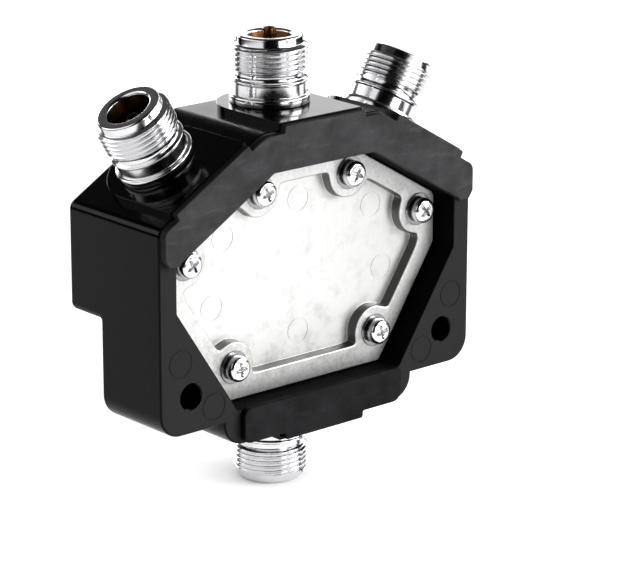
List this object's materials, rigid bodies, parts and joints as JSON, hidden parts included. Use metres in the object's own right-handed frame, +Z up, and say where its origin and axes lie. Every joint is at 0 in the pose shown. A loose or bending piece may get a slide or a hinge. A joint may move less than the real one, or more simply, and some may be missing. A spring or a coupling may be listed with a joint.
{
  "type": "coaxial antenna switch",
  "caption": "Wall-mounted coaxial switch: a turning knob joins one common threaded port to one of the threaded ports on the upper edges.",
  "frame": {"origin": "centre of the common port's mouth, the lowest point of the switch", "axes": "+Z up along the common port towards the top port, +Y towards the wall side with the pads, knob towards -Y, the mirror plane of the case is x = 0"},
  "size_m": [0.0852, 0.0489, 0.0965],
  "materials": {
    "case_plastic": "smooth moulded black, lightly glossy",
    "collar_plastic": "glossy black moulding",
    "upper_pad_rubber": "matte dark grey rubber with faint scuffs",
    "lower_pad_rubber": "matte dark grey rubber with faint scuffs",
    "cast_zinc": "as-cast, dull grey",
    "cast_cover": "as-cast, bright, slightly mottled",
    "screw_steel": "nickel plated",
    "washer_steel": "nickel plated",
    "port_chrome": "polished nickel on turned brass",
    "white_insulator": "waxy white fluoropolymer",
    "contact_brass": "gold plated",
    "spring_brass": "silver plated spring brass",
    "bushing_brass": "turned",
    "inner_steel": "ground",
    "rotor_plastic": "moulded, pale",
    "knob_plastic": "satin black moulding",
    "pointer_plastic": "white inlay",
    "black_steel": "blackened"
  },
  "bodies": {
    "housing": {"outer_case": "case_plastic", "upper_wall_pad": "upper_pad_rubber", "lower_wall_pad": "lower_pad_rubber", "switch_body": "cast_zinc", "body_cover": "cast_cover", "cover_screws": "screw_steel", "cover_spring_washers": "washer_steel", "left_collar": "collar_plastic", "top_collar": "collar_plastic", "right_collar": "collar_plastic", "common_collar": "collar_plastic", "left_port_shell": "port_chrome", "top_port_shell": "port_chrome", "right_port_shell": "port_chrome", "common_port_shell": "port_chrome", "left_insulator": "white_insulator", "top_insulator": "white_insulator", "right_insulator": "white_insulator", "common_insulator": "white_insulator", "left_contact_pin": "contact_brass", "top_contact_pin": "contact_brass", "right_contact_pin": "contact_brass", "common_contact_pin": "contact_brass", "fixed_contacts": "spring_brass", "common_finger": "spring_brass", "shaft_bushing": "bushing_brass", "bushing_washer": "washer_steel", "bushing_nut": "washer_steel", "detent_plate": "inner_steel"},
    "selector": {"shaft": "inner_steel", "shaft_clip": "inner_steel", "rotor": "rotor_plastic", "wiper_blade": "spring_brass", "rotor_washer": "washer_steel", "rotor_screw": "screw_steel", "detent_ball": "inner_steel", "detent_spring": "inner_steel", "knob": "knob_plastic", "knob_pointer": "pointer_plastic", "knob_set_screw": "black_steel"}
  },
  "joints": [
    {"name": "knob_turn", "type": "hinge", "parent": "housing", "child": "selector", "pos_m": [0, -0.0138, 0.043], "axis": [0, -1, 0], "range_deg": [-60, 60]}
  ]
}
